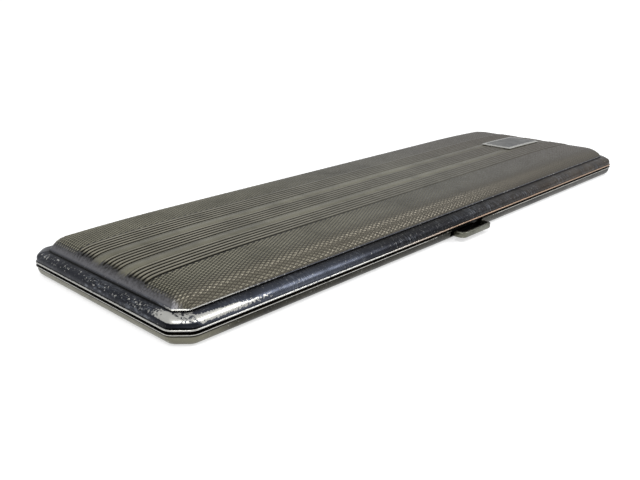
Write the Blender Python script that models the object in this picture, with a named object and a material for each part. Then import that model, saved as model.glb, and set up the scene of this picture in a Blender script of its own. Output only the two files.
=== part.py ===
"""A long, flat cigarette case of silver-plated sheet, with a cushioned lid, a knuckle hinge and a push catch.

The case lies shut on its base. +X runs along it, the catch faces -Y, the hinge is at the back and +Z is up.
The origin is the middle of the footprint, catch and hinge included, on the surface that the case lies on.
The pieces are drawn in the case's own frame, whose Y is zero midway between the front and back rims.
"""

import math

import bmesh
import bpy
from mathutils import Matrix, Vector

MM = 0.001

# The case as a whole
CASE_LENGTH = 256.0 * MM
CASE_WIDTH = 80.0 * MM
CASE_HEIGHT = 13.2 * MM
PARTING_HEIGHT = 4.3 * MM
SHEET = 0.8 * MM
SEAM = 0.5 * MM
FIT = 0.3 * MM
OVERRUN = 3.0 * MM

# The rims and the corners
BEAD_RADIUS = 0.3 * MM
BEAD_QUIRK = 0.08 * MM
RIM_CANT = 5.1 * MM
RIM_SOFTENING = 3.8 * MM
BOTTOM_INSET = 3.4 * MM
BOTTOM_SOFTENING = 2.0 * MM

# The lid's plain border and its raised panel
END_BORDER = 3.8 * MM
SIDE_BORDER = 4.6 * MM
PANEL_CANT = 3.2 * MM
PANEL_SOFTENING = 0.5 * MM
PANEL_STEP = 0.3 * MM
PANEL_FALL_SHARE = 0.53
SHOULDER_POWER = 19
END_DIP = 1.3 * MM
END_DIP_LENGTH = 45.0 * MM
END_DIP_POWER = 2

# The plain plate for initials, soldered on the panel near its right-hand end
CARTOUCHE_LENGTH = 27.0 * MM
CARTOUCHE_WIDTH = 15.0 * MM
CARTOUCHE_THICKNESS = 0.6 * MM
CARTOUCHE_FROM_END = 30.5 * MM
CARTOUCHE_EDGE = 0.15 * MM

# The hinge
KNUCKLE_RADIUS = 1.4 * MM
KNUCKLE_COUNT = 9
PIN_RADIUS = 0.6 * MM
PIN_PLAY = 0.2 * MM
HINGE_FROM_END = 10.0 * MM
WING_THICKNESS = 0.6 * MM
WING_HEIGHT = 1.6 * MM
LID_WING_HEIGHT = 1.2 * MM
WING_CHAMFER = 0.25 * MM

# The strip that stands up inside the base and steers the lid on to it
BEZEL_INSET = 1.65 * MM
BEZEL_THICKNESS = 0.6 * MM
BEZEL_HEIGHT = 2.4 * MM
BEZEL_BACK_SPACE = 6.0 * MM

# The catch
THUMB_WIDTH = 18.8 * MM
THUMB_REACH = 4.6 * MM
THUMB_HEIGHT = 2.0 * MM
THUMB_LIP = 0.9 * MM
THUMB_CORNER = 2.2 * MM
THUMB_EDGE = 0.35 * MM
THUMB_LIFT = 0.9 * MM
NOTCH_PLAY = 0.8 * MM
TONGUE_WIDTH = 14.0 * MM
TONGUE_THICKNESS = 0.7 * MM
HOOK_WIDTH = 6.0 * MM
HOOK_THICKNESS = 0.6 * MM
HOOK_NOSE = 0.8 * MM
HOOK_NOSE_HEIGHT = 0.7 * MM
HOOK_FOOT = 1.7 * MM
HOOK_PLAY = 0.15 * MM
KEEPER_WIDTH = 12.0 * MM
KEEPER_THICKNESS = 0.6 * MM
KEEPER_DROP = 0.3 * MM
KEEPER_BAR = 0.6 * MM
KEEPER_WINDOW_HEIGHT = 1.1 * MM
KEEPER_WINDOW_WIDTH = 8.0 * MM
SPRING_LENGTH = 70.0 * MM
SPRING_THICKNESS = 0.4 * MM
SPRING_HEIGHT = 2.0 * MM
SPRING_CORNER = 0.5 * MM
SPRING_END_SPACE = 2.5 * MM
RIVET_RADIUS = 0.5 * MM
RIVET_HEAD_RADIUS = 0.95 * MM
RIVET_HEAD_HEIGHT = 0.4 * MM

# The elastic strap and its clips
STRAP_WIDTH = 10.0 * MM
STRAP_THICKNESS = 0.8 * MM
STRAP_END_SPACE = 14.0 * MM
STRAP_EDGE = 0.2 * MM
CLIP_LENGTH = 4.0 * MM
CLIP_THICKNESS = 0.6 * MM
CLIP_EDGE = 0.3 * MM
CLIP_FROM_STRAP_END = 2.0 * MM

# How finely round shapes are cut
CORNER_STEPS = 3
THUMB_CORNER_STEPS = 6
BORDER_STEPS = 5
BASE_SIDE_STEPS = 5
ROUND_STEPS = 20
SMALL_ROUND_STEPS = 12

# Where the rings of the lid have extra points, as shares of half the ring's length and half its width
SIDE_STATION_SHARES = (0.68, 0.76, 0.83, 0.89, 0.93)
END_STATION_SHARES = (0.35,)
# The rings of the panel, as shares of the way from its edge to the flat in the middle
PANEL_RING_SHARES = (0.0, 0.02, 0.045, 0.08, 0.13, 0.22, 0.45, 0.8)
INNER_RING_SHARES = (0.0, 0.03, 0.08, 0.22, 0.6)
# How fast a ring draws in along the case, against across it
PANEL_RING_LENGTH_SHARE = 1.2
# The border's curve: where its control point lies between the bead and the panel's foot
BORDER_PULL_INSET_SHARE = 0.02
BORDER_PULL_RISE_SHARE = 0.9
# The stretch of the border over which its inner skin leaves the level of the rim
INNER_RIM_SHARE = 1 / 3
# The base's curve: the same, between the bead and the flat bottom
BASE_PULL_INSET_SHARE = 0.02
BASE_PULL_DROP_SHARE = 0.95
# The keeper's flange lies along this stretch of the lid's inner border
KEEPER_FLANGE_SHARES = (0.65, 0.85, 1.0)
# How much of an edge's length has to lie along an axis for the edge to count as running along it
NEARLY_ALL_SHARE = 0.99

half_length = CASE_LENGTH / 2
half_width = CASE_WIDTH / 2
base_rim = PARTING_HEIGHT - SEAM / 2
lid_rim = PARTING_HEIGHT + SEAM / 2
lid_rise = CASE_HEIGHT - PARTING_HEIGHT
side_inset = BEAD_RADIUS + BEAD_QUIRK
lid_border_low = lid_rim + 2 * BEAD_RADIUS + BEAD_QUIRK
base_side_high = base_rim - 2 * BEAD_RADIUS - BEAD_QUIRK
panel_half_length = half_length - END_BORDER
panel_half_width = half_width - SIDE_BORDER
panel_edge_height = CASE_HEIGHT - PANEL_FALL_SHARE * lid_rise
hinge_y = half_width
hinge_z = PARTING_HEIGHT
hinge_half = half_length - HINGE_FROM_END
case_y = (THUMB_REACH - KNUCKLE_RADIUS) / 2


def empty(name, at, parent=None):
    """A named frame that pieces are placed in, at a point of the case's frame."""
    frame = bpy.data.objects.new(name, None)
    bpy.context.collection.objects.link(frame)
    frame.parent = parent
    frame.location = at
    return frame


def finish(name, colour, metallic, roughness):
    """A Principled material of one colour."""
    material = bpy.data.materials.new(name)
    material.use_nodes = True
    shader = material.node_tree.nodes["Principled BSDF"]
    shader.inputs["Base Color"].default_value = (*colour, 1.0)
    shader.inputs["Metallic"].default_value = metallic
    shader.inputs["Roughness"].default_value = roughness
    material.diffuse_color = (*colour, 1.0)
    return material


def silver_plate(name):
    return finish(name, (0.36, 0.35, 0.32), 1.0, 0.28)


def gilt(name):
    return finish(name, (0.62, 0.45, 0.2), 1.0, 0.3)


def spring_steel(name):
    return finish(name, (0.3, 0.31, 0.33), 1.0, 0.35)


def woven_elastic(name):
    return finish(name, (0.42, 0.3, 0.14), 0.0, 0.85)


def piece(name, shape, material, parent, smooth_angle=None):
    """A sub-part from a bmesh that is drawn in the case's frame. The parent is an empty of the case."""
    bmesh.ops.recalc_face_normals(shape, faces=shape.faces)
    mesh = bpy.data.meshes.new(name)
    shape.to_mesh(mesh)
    shape.free()
    if smooth_angle is not None:
        mesh.shade_smooth()
        mesh.set_sharp_from_angle(angle=smooth_angle)
    made = bpy.data.objects.new(name, mesh)
    bpy.context.collection.objects.link(made)
    made.data.materials.append(material)
    made.parent = parent
    if parent.parent:
        made.location = -parent.location
    return made


def cutter(name, shape, parent):
    """A helper for a Boolean, which is no part of the case."""
    made = piece(name, shape, finish(name, (0.5, 0.5, 0.5), 0.0, 0.5), parent)
    made.hide_render = True
    made.display_type = "WIRE"
    return made


def combine(target, tool, operation):
    modifier = target.modifiers.new(f"{operation.lower()} {tool.name}", "BOOLEAN")
    modifier.operation = operation
    modifier.solver = "EXACT"
    modifier.object = tool


def runs_along(edge, axis):
    """Whether an edge runs along X (0), Y (1) or Z (2)."""
    way = edge.verts[1].co - edge.verts[0].co
    return abs(way[axis]) > way.length * NEARLY_ALL_SHARE


def bevel_edges(shape, edges, width, segments=2):
    bmesh.ops.bevel(
        shape,
        geom=list(edges),
        offset=width,
        offset_type="OFFSET",
        segments=segments,
        profile=0.5,
        affect="EDGES",
        material=-1,
        clamp_overlap=True,
    )


def extruded(points, along):
    """A closed outline of points pushed along a vector."""
    shape = bmesh.new()
    face = shape.faces.new([shape.verts.new(point) for point in points])
    grown = bmesh.ops.extrude_face_region(shape, geom=[face])
    moved = [item for item in grown["geom"] if isinstance(item, bmesh.types.BMVert)]
    bmesh.ops.translate(shape, verts=moved, vec=along)
    return shape


def box(low, high):
    """A block between two opposite corners."""
    corners = ((low[0], low[1]), (high[0], low[1]), (high[0], high[1]), (low[0], high[1]))
    return extruded([(*corner, low[2]) for corner in corners], (0, 0, high[2] - low[2]))


def turned(profile, axis, steps, centre=(0, 0, 0)):
    """A round solid: a closed or pole-to-pole profile of (distance along, radius) spun about an axis."""
    shape = bmesh.new()
    along = Vector(axis)
    outward = along.orthogonal().normalized()
    verts = [shape.verts.new(along * distance + outward * radius) for distance, radius in profile]
    edges = [shape.edges.new(pair) for pair in zip(verts, verts[1:])]
    if min(radius for distance, radius in profile) > 0:
        edges.append(shape.edges.new((verts[-1], verts[0])))
    bmesh.ops.spin(
        shape,
        geom=verts + edges,
        cent=(0, 0, 0),
        axis=along,
        angle=math.tau,
        steps=steps,
        use_merge=True,
        use_duplicate=False,
    )
    bmesh.ops.remove_doubles(shape, verts=shape.verts, dist=BEAD_QUIRK / steps)
    bmesh.ops.translate(shape, verts=shape.verts, vec=centre)
    return shape


def between(low, high, share):
    return low + (high - low) * share


def curve_point(start, pull, end, share):
    """A point of the curve that leaves start towards pull and reaches end from pull."""
    return tuple(
        between(between(first, middle, share), between(middle, last, share), share)
        for first, middle, last in zip(start, pull, end)
    )


def softened(corner, before, after, radius):
    """The points of a round of the given radius at a corner of an outline."""
    into = (corner - before).normalized()
    out = (after - corner).normalized()
    turn = into.angle(out)
    reach = radius * math.tan(turn / 2)
    centre = corner - into * reach + Vector((-into.y, into.x)) * radius
    first = Vector((into.y, -into.x)) * radius
    spin = [turn * step / CORNER_STEPS for step in range(CORNER_STEPS + 1)]
    return [centre + Matrix.Rotation(angle, 2) @ first for angle in spin]


def outline(reach_x, reach_y, cant, softening, with_stations=True):
    """A rectangle with canted, softened corners, as points (x, y) from the front right corner on."""
    straight_x = reach_x - cant
    straight_y = reach_y - cant
    corners = [
        Vector((straight_x, -reach_y)),
        Vector((reach_x, -straight_y)),
        Vector((reach_x, straight_y)),
        Vector((straight_x, reach_y)),
        Vector((-straight_x, reach_y)),
        Vector((-reach_x, straight_y)),
        Vector((-reach_x, -straight_y)),
        Vector((-straight_x, -reach_y)),
    ]
    points = []
    for index, corner in enumerate(corners):
        after = corners[(index + 1) % len(corners)]
        points += softened(corner, corners[index - 1], after, softening)
        runs_along_x = corner.y == after.y
        runs_along_y = corner.x == after.x
        if not with_stations or not (runs_along_x or runs_along_y):
            continue
        shares = SIDE_STATION_SHARES if runs_along_x else END_STATION_SHARES
        span = Vector((reach_x, 0)) if runs_along_x else Vector((0, reach_y))
        way = 1 if (after - corner).dot(span) > 0 else -1
        base = Vector((0, corner.y)) if runs_along_x else Vector((corner.x, 0))
        for share in [-share for share in reversed(shares)] + list(shares):
            points.append(base + span * share * way)
    return points


def lofted(rings, capped=True):
    """A solid through rings that have equally many points. Without caps the last ring joins the first."""
    shape = bmesh.new()
    loops = [[shape.verts.new(point) for point in ring] for ring in rings]
    if capped:
        shape.faces.new(loops[0])
        shape.faces.new(loops[-1])
    else:
        loops.append(loops[0])
    for loop, follower in zip(loops, loops[1:]):
        for index, vert in enumerate(loop):
            shape.faces.new((loop[index - 1], vert, follower[index], follower[index - 1]))
    return shape


def bead(rim, way):
    """The bead's points as (inset, height). The way is 1 for a bead above its rim and -1 for one below."""
    turns = [math.radians(angle) for angle in (-90, -45, 0, 45, 90)]
    insets = [BEAD_RADIUS * (1 - math.cos(turn)) for turn in turns]
    rises = [BEAD_RADIUS * (1 + math.sin(turn)) for turn in turns]
    return [(inset, rim + way * rise) for inset, rise in zip(insets, rises)]


def rim_outline(inset, with_stations=True):
    """The rim's outline drawn in by an inset, its cants kept parallel."""
    share = min(inset / BOTTOM_INSET, 1)
    cant = RIM_CANT - inset * (2 - math.sqrt(2))
    softening = between(RIM_SOFTENING, BOTTOM_SOFTENING, share)
    return outline(half_length - inset, half_width - inset, cant, softening, with_stations)


def crown(x, y):
    """The height of the cushioned panel at a point: it dips gently to both ends and has round shoulders,
    which follow its sides, its ends and its cants down to one level edge."""
    past_level = max(abs(x) - panel_half_length + END_DIP_LENGTH, 0)
    middle = CASE_HEIGHT - END_DIP * (past_level / END_DIP_LENGTH) ** END_DIP_POWER
    past_square = max(abs(x) - panel_half_length + panel_half_width, 0)
    end_share = past_square / panel_half_width
    side_share = abs(y) / panel_half_width
    cant_share = (past_square + abs(y)) / (2 * panel_half_width - PANEL_CANT)
    shoulder = max(end_share, side_share, cant_share) ** SHOULDER_POWER
    return between(middle, panel_edge_height, shoulder)


def border_curve(share):
    """(inset share, rise share) of the lid's border, from the bead at 0 to the panel's foot at 1."""
    return curve_point((0, 0), (BORDER_PULL_INSET_SHARE, BORDER_PULL_RISE_SHARE), (1, 1), share)


def border_slope(share):
    """The angle of the border in its section, as if it rose as far as it goes in."""
    inset_pace = between(BORDER_PULL_INSET_SHARE, 1 - BORDER_PULL_INSET_SHARE, share)
    rise_pace = between(BORDER_PULL_RISE_SHARE, 1 - BORDER_PULL_RISE_SHARE, share)
    return math.atan2(rise_pace, inset_pace)


def panel_outline(draw_in):
    """The panel's outline drawn in across the case, and by more along it. Its cants shrink with it."""
    along = panel_half_length - draw_in * PANEL_RING_LENGTH_SHARE
    across = panel_half_width - draw_in
    left = across / panel_half_width
    return outline(along, across, PANEL_CANT * left, PANEL_SOFTENING * left)


def border_ring(share, skin):
    """A ring of the lid's border. The skin is 0 on the outside and the sheet's thickness on the inside."""
    inset_share, rise_share = border_curve(share)
    slope = border_slope(share)
    inward = skin * math.sin(slope)
    down = skin * math.cos(slope) * min(share / INNER_RIM_SHARE, 1)
    end = between(side_inset, END_BORDER, inset_share) + inward
    side = between(side_inset, SIDE_BORDER, inset_share) + inward
    cant = between(RIM_CANT, PANEL_CANT, rise_share)
    softening = between(RIM_SOFTENING, PANEL_SOFTENING, inset_share)
    ring = outline(half_length - end, half_width - side, cant, softening)
    feet = [crown(*point) - PANEL_STEP for point in panel_outline(0)]
    return [(*point, between(lid_border_low, foot, rise_share) - down) for point, foot in zip(ring, feet)]


def panel_ring(share, skin):
    """A ring of the panel, from its edge at share 0 to its middle at 1, sunk square to the surface by a skin."""
    ring = []
    for x, y in panel_outline(panel_half_width * share):
        slope_x = (crown(x + FIT, y) - crown(x - FIT, y)) / (2 * FIT)
        slope_y = (crown(x, y + FIT) - crown(x, y - FIT)) / (2 * FIT)
        square = Vector((-slope_x, -slope_y, 1)).normalized()
        ring.append(Vector((x, y, crown(x, y))) - square * skin)
    return ring


def level_ring(points, height):
    return [(*point, height) for point in points]


def side_skin(share):
    """(y, z) of the lid's inner border at the front, midway along the case."""
    foot = crown(0, panel_half_width) - PANEL_STEP
    inset_share, rise_share = border_curve(share)
    slope = border_slope(share)
    inset = between(side_inset, SIDE_BORDER, inset_share) + SHEET * math.sin(slope)
    return inset - half_width, between(lid_border_low, foot, rise_share) - SHEET * math.cos(slope)


def lid_shell(parent):
    """The pressed lid: rolled rim, plain border, step, and the cushioned panel, all in one sheet."""
    steps = [step / BORDER_STEPS for step in range(BORDER_STEPS + 1)]
    rings = [panel_ring(share, SHEET) for share in reversed(INNER_RING_SHARES)]
    rings += [border_ring(share, SHEET) for share in reversed(steps[1:])]
    rings.append(level_ring(rim_outline(side_inset + SHEET), lid_rim + BEAD_RADIUS))
    rings.append(level_ring(rim_outline(side_inset + SHEET), lid_rim))
    rings += [level_ring(rim_outline(inset), height) for inset, height in bead(lid_rim, 1)]
    rings += [border_ring(share, 0) for share in steps]
    rings += [panel_ring(share, 0) for share in PANEL_RING_SHARES]
    shell = piece("lid_shell", lofted(rings), silver_plate("silver plate, lid"), parent, math.radians(30))
    combine(shell, hinge_cove, "DIFFERENCE")
    return shell


def base_side(share, skin):
    """(inset, height) of the base's side, from the bead at 0 to the flat bottom at 1."""
    pull_inset = between(side_inset, BOTTOM_INSET, BASE_PULL_INSET_SHARE)
    pull = (pull_inset, base_side_high * (1 - BASE_PULL_DROP_SHARE))
    inset, height = curve_point((side_inset, base_side_high), pull, (BOTTOM_INSET, 0), share)
    return inset + skin * (1 - share), height + skin * share


def base_shell(parent):
    """The pressed base tray, with its rolled rim, and the catch's notch in its front wall."""
    steps = [step / BASE_SIDE_STEPS for step in range(BASE_SIDE_STEPS + 1)]
    section = [base_side(share, SHEET) for share in reversed(steps)]
    section.append((side_inset + SHEET, base_rim))
    section += bead(base_rim, -1)
    section += [base_side(share, 0) for share in steps]
    rings = [level_ring(rim_outline(inset, False), height) for inset, height in section]
    shell = piece("base_shell", lofted(rings), silver_plate("silver plate, base"), parent, math.radians(30))
    combine(shell, hinge_cove, "DIFFERENCE")
    combine(shell, catch_notch, "DIFFERENCE")
    return shell


def bezel(parent):
    """The thin strip round the front and both ends, inside the base's wall and a little higher."""
    inner = BEZEL_INSET + BEZEL_THICKNESS
    high = works_low + BEZEL_HEIGHT
    section = [(BEZEL_INSET, works_low), (BEZEL_INSET, high), (inner, high), (inner, works_low)]
    rings = [level_ring(rim_outline(inset, False), height) for inset, height in section]
    strip = piece("base_bezel", lofted(rings, capped=False), gilt("gilt, bezel"), parent, math.radians(30))
    combine(strip, bezel_opening, "DIFFERENCE")
    return strip


def hinge_wing(name, low, high, parent):
    """The long strip inside the back wall that covers the knuckles of one half. Its ends are chamfered."""
    inner = hinge_y - KNUCKLE_RADIUS - FIT - WING_THICKNESS
    shape = box((-hinge_half, inner, low), (hinge_half, inner + WING_THICKNESS, high))
    bevel_edges(shape, [edge for edge in shape.edges if runs_along(edge, 1)], WING_CHAMFER, 1)
    inside = [edge for edge in shape.edges if runs_along(edge, 0) and edge.verts[0].co.y == inner]
    bevel_edges(shape, inside, WING_CHAMFER / 2, 1)
    return piece(name, shape, gilt(f"gilt, {name}"), parent)


def knuckle(name, index, parent):
    """One tube of the hinge, counted from the left-hand end."""
    pitch = (2 * hinge_half + FIT) / KNUCKLE_COUNT
    start = -hinge_half + index * pitch
    length = pitch - FIT
    bore = PIN_RADIUS + PIN_PLAY
    profile = [(0, bore), (length, bore), (length, KNUCKLE_RADIUS), (0, KNUCKLE_RADIUS)]
    shape = turned(profile, (1, 0, 0), ROUND_STEPS, (start, hinge_y, hinge_z))
    return piece(name, shape, silver_plate(f"silver plate, {name}"), parent, math.radians(40))


def hinge_pin(parent):
    """The long pin through all the knuckles, with eased ends."""
    ease = PIN_RADIUS / 3
    profile = [
        (-hinge_half, 0),
        (-hinge_half, PIN_RADIUS - ease),
        (-hinge_half + ease, PIN_RADIUS),
        (hinge_half - ease, PIN_RADIUS),
        (hinge_half, PIN_RADIUS - ease),
        (hinge_half, 0),
    ]
    shape = turned(profile, (1, 0, 0), ROUND_STEPS, (0, hinge_y, hinge_z))
    return piece("hinge_pin", shape, spring_steel("steel, pin"), parent, math.radians(40))


def cartouche(parent):
    """The plain rectangular plate on the panel, bent to the panel's fall."""
    shape = bmesh.new()
    middle = Matrix.Translation((half_length - CARTOUCHE_FROM_END, 0, 0))
    stretch = Matrix.Diagonal((1, CARTOUCHE_WIDTH / CARTOUCHE_LENGTH, 1, 1))
    frame = middle @ stretch
    bmesh.ops.create_grid(shape, x_segments=4, y_segments=2, size=CARTOUCHE_LENGTH / 2, matrix=frame)
    grown = bmesh.ops.extrude_face_region(shape, geom=list(shape.faces))
    upper = {item for item in grown["geom"] if isinstance(item, bmesh.types.BMVert)}
    for vert in shape.verts:
        rise = FIT + (CARTOUCHE_THICKNESS if vert in upper else 0)
        vert.co.z = crown(vert.co.x, vert.co.y) + rise
    rims = [edge for edge in shape.edges if edge.calc_face_angle(0) > math.radians(45)]
    bevel_edges(shape, [edge for edge in rims if set(edge.verts) <= upper], CARTOUCHE_EDGE, 1)
    return piece("cartouche", shape, silver_plate("silver plate, cartouche"), parent)


def thumb_outline(inset, back, height):
    """The thumb piece from above, as level points. Its outer corners are round, and its back is straight."""
    reach = THUMB_WIDTH / 2 - inset
    radius = THUMB_CORNER - inset
    middle_y = inset + radius - half_width - THUMB_REACH
    points = [(reach, back, height), (-reach, back, height)]
    for middle_x, first_turn in ((radius - reach, math.pi), (reach - radius, 1.5 * math.pi)):
        for step in range(THUMB_CORNER_STEPS + 1):
            turn = first_turn + math.pi / 2 * step / THUMB_CORNER_STEPS
            x = middle_x + radius * math.cos(turn)
            y = middle_y + radius * math.sin(turn)
            points.append((x, y, height))
    return points


def thumb_piece(parent):
    """The pressed thumb piece: a shallow tray with a rolled lip on three sides, and its tongue."""
    back = -half_width - FIT
    shape = extruded(thumb_outline(0, back, thumb_low), (0, 0, THUMB_HEIGHT))
    level = [edge for edge in shape.edges if not runs_along(edge, 2)]
    rolled = [edge for edge in level if min(vert.co.y for vert in edge.verts) < back]
    bevel_edges(shape, rolled, THUMB_EDGE)
    thumb = piece("thumb_piece", shape, silver_plate("silver plate, thumb piece"), parent, math.radians(35))
    combine(thumb, thumb_hollow, "DIFFERENCE")
    combine(thumb, thumb_tongue, "UNION")
    return thumb


def catch_hook(parent):
    """The hook on the tongue, with its foot, upright and nose, as one bent strip."""
    back = spring_front - FIT
    upright = back - HOOK_THICKNESS
    nose_low = hook_top - HOOK_NOSE_HEIGHT
    foot_top = works_low + HOOK_THICKNESS
    section = [
        (back, works_low),
        (back, hook_top),
        (upright, hook_top),
        (upright - HOOK_NOSE, between(nose_low, hook_top, 1 / 2)),
        (upright - HOOK_NOSE, nose_low),
        (upright, nose_low),
        (upright, foot_top),
        (upright - HOOK_FOOT, foot_top),
        (upright - HOOK_FOOT, works_low),
    ]
    points = [(-HOOK_WIDTH / 2, y, z) for y, z in section]
    return piece("catch_hook", extruded(points, (HOOK_WIDTH, 0, 0)), spring_steel("steel, hook"), parent)


def catch_keeper(parent):
    """The keeper under the lid's front border: a flange that follows the sheet, and a leg with a window."""
    skin = [side_skin(share) for share in KEEPER_FLANGE_SHARES]
    upper = [(y, z - FIT) for y, z in skin]
    lower = [(y, z - FIT - KEEPER_THICKNESS) for y, z in skin]
    bend_top = upper[0][1]
    bend_foot = lower[0][1]
    section = [(keeper_front, keeper_low), (keeper_back, keeper_low), (keeper_back, bend_foot)]
    section += lower[1:] + upper[:0:-1]
    section += [(keeper_back, bend_top), (keeper_front, between(bend_foot, bend_top, 1 / 2))]
    points = [(-KEEPER_WIDTH / 2, y, z) for y, z in section]
    keeper = piece("catch_keeper", extruded(points, (KEEPER_WIDTH, 0, 0)), gilt("gilt, keeper"), parent)
    combine(keeper, keeper_window, "DIFFERENCE")
    return keeper


def catch_spring(parent):
    """The long leaf spring behind the hook, which pushes the thumb piece out."""
    low = (-SPRING_LENGTH / 2, spring_front, works_low)
    high = (SPRING_LENGTH / 2, spring_front + SPRING_THICKNESS, works_low + SPRING_HEIGHT)
    shape = box(low, high)
    bevel_edges(shape, [edge for edge in shape.edges if runs_along(edge, 1)], SPRING_CORNER)
    spring = piece("catch_spring", shape, spring_steel("steel, spring"), parent)
    for hole in spring_holes:
        combine(spring, hole, "DIFFERENCE")
    return spring


def spring_rivet(name, x, parent):
    """A rivet that holds one end of the spring off the bezel."""
    inner = spring_front + SPRING_THICKNESS + FIT
    outer = bezel_inner_y + FIT
    profile = [
        (outer, 0),
        (outer, RIVET_RADIUS),
        (inner, RIVET_RADIUS),
        (inner, RIVET_HEAD_RADIUS),
        (inner + RIVET_HEAD_HEIGHT / 2, RIVET_HEAD_RADIUS),
        (inner + RIVET_HEAD_HEIGHT, RIVET_RADIUS),
        (inner + RIVET_HEAD_HEIGHT, 0),
    ]
    shape = turned(profile, (0, 1, 0), SMALL_ROUND_STEPS, (x, 0, spring_middle))
    return piece(name, shape, spring_steel(f"steel, {name}"), parent, math.radians(40))


def elastic_strap(parent):
    """The woven elastic that lies along the floor of the base and holds the cigarettes."""
    low = (-strap_half, -STRAP_WIDTH / 2, strap_low)
    high = (strap_half, STRAP_WIDTH / 2, strap_low + STRAP_THICKNESS)
    shape = box(low, high)
    bevel_edges(shape, [edge for edge in shape.edges if runs_along(edge, 0)], STRAP_EDGE, 1)
    return piece("elastic_strap", shape, woven_elastic("elastic, strap"), parent)


def strap_clip(name, side, parent):
    """A bridge over one end of the strap, on two legs."""
    inner_y = STRAP_WIDTH / 2 + FIT
    outer_y = inner_y + CLIP_THICKNESS
    under = strap_low + STRAP_THICKNESS + FIT
    top = under + CLIP_THICKNESS
    middle = side * (strap_half - CLIP_FROM_STRAP_END - CLIP_LENGTH / 2)
    half_section = [(outer_y, strap_low), (outer_y, top - CLIP_EDGE), (outer_y - CLIP_EDGE, top)]
    section = half_section + [(-y, z) for y, z in reversed(half_section)]
    section += [(-inner_y, strap_low), (-inner_y, under), (inner_y, under), (inner_y, strap_low)]
    points = [(middle - CLIP_LENGTH / 2, y, z) for y, z in section]
    return piece(name, extruded(points, (CLIP_LENGTH, 0, 0)), gilt(f"gilt, {name}"), parent)


for leftover in list(bpy.data.objects):
    bpy.data.objects.remove(leftover, do_unlink=True)

# Places that several pieces share
thumb_low = SHEET + THUMB_LIFT
tongue_top = thumb_low + TONGUE_THICKNESS
works_low = tongue_top + FIT
bezel_inner_y = BEZEL_INSET + BEZEL_THICKNESS - half_width
keeper_front = bezel_inner_y + FIT
keeper_back = keeper_front + KEEPER_THICKNESS
keeper_low = PARTING_HEIGHT - KEEPER_DROP
window_bottom = keeper_low + KEEPER_BAR
window_top = window_bottom + KEEPER_WINDOW_HEIGHT
flange_low = side_skin(KEEPER_FLANGE_SHARES[0])[1] - FIT - KEEPER_THICKNESS
hook_top = min(window_top - HOOK_PLAY, flange_low - FIT)
spring_front = keeper_back + FIT + HOOK_NOSE + HOOK_THICKNESS + FIT
spring_middle = works_low + SPRING_HEIGHT / 2
strap_low = SHEET + FIT
strap_half = half_length - STRAP_END_SPACE
rivet_places = (-SPRING_LENGTH / 2 + SPRING_END_SPACE, SPRING_LENGTH / 2 - SPRING_END_SPACE)

case = empty("case", (0, case_y, 0))
lid_hinge = empty("lid_hinge", (0, hinge_y, hinge_z), case)
thumb_slide = empty("thumb_slide", (0, -half_width, thumb_low), case)

# Cutters
cove_reach = hinge_half + FIT
cove_radius = KNUCKLE_RADIUS + FIT
cove_profile = [(-cove_reach, 0), (-cove_reach, cove_radius), (cove_reach, cove_radius), (cove_reach, 0)]
hinge_cove = cutter("hinge_cove", turned(cove_profile, (1, 0, 0), ROUND_STEPS, (0, hinge_y, hinge_z)), case)
notch_half = THUMB_WIDTH / 2 + NOTCH_PLAY
notch_low = (-notch_half, -half_width - OVERRUN, thumb_low - FIT)
notch_high = (notch_half, bezel_inner_y, PARTING_HEIGHT + OVERRUN)
catch_notch = cutter("catch_notch", box(notch_low, notch_high), case)
opening_low = (-half_length, half_width - BEZEL_BACK_SPACE, -OVERRUN)
opening_high = (half_length, half_width + OVERRUN, CASE_HEIGHT)
bezel_opening = cutter("bezel_opening", box(opening_low, opening_high), case)
hollow_outline = thumb_outline(THUMB_LIP, OVERRUN - half_width, tongue_top)
thumb_hollow = cutter("thumb_hollow", extruded(hollow_outline, (0, 0, THUMB_HEIGHT)), case)
tongue_low = (-TONGUE_WIDTH / 2, -half_width - THUMB_REACH / 2, thumb_low)
tongue_high = (TONGUE_WIDTH / 2, spring_front - FIT, tongue_top)
thumb_tongue = cutter("thumb_tongue", box(tongue_low, tongue_high), case)
window_low = (-KEEPER_WINDOW_WIDTH / 2, keeper_front - OVERRUN, window_bottom)
window_high = (KEEPER_WINDOW_WIDTH / 2, keeper_back + FIT, window_top)
keeper_window = cutter("keeper_window", box(window_low, window_high), case)
hole_radius = RIVET_RADIUS + FIT / 2
hole_profile = [(-OVERRUN, 0), (-OVERRUN, hole_radius), (OVERRUN, hole_radius), (OVERRUN, 0)]
spring_holes = []
for place in rivet_places:
    hole = turned(hole_profile, (0, 1, 0), SMALL_ROUND_STEPS, (place, spring_front, spring_middle))
    spring_holes.append(cutter("spring_hole", hole, case))

# The base and what it carries
base_shell(case)
bezel(case)
hinge_wing("base_hinge_wing", base_rim - WING_HEIGHT, base_rim, case)
hinge_pin(case)
catch_spring(case)
spring_rivet("spring_rivet_left", rivet_places[0], case)
spring_rivet("spring_rivet_right", rivet_places[1], case)
elastic_strap(case)
strap_clip("strap_clip_left", -1, case)
strap_clip("strap_clip_right", 1, case)

# The lid and what it carries
lid_shell(lid_hinge)
cartouche(lid_hinge)
hinge_wing("lid_hinge_wing", lid_rim, lid_rim + LID_WING_HEIGHT, lid_hinge)
catch_keeper(lid_hinge)

for index in range(KNUCKLE_COUNT):
    on_base = index % 2 == 0
    number = index // 2 + 1
    knuckle(f"{'base' if on_base else 'lid'}_knuckle_{number}", index, case if on_base else lid_hinge)

# What the thumb moves
thumb_piece(thumb_slide)
catch_hook(thumb_slide)
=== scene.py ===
"""A long silver-plated cigarette case: engine-turned lid, pressed base, catch, strap, finishes and studio.

The pieces are drawn in millimetres in the case's own frame, whose Y is zero midway between the rims,
and are then put where the CAD case lies.
"""

import math

import bmesh
import bpy
import numpy
from mathutils import Matrix, Vector


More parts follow.
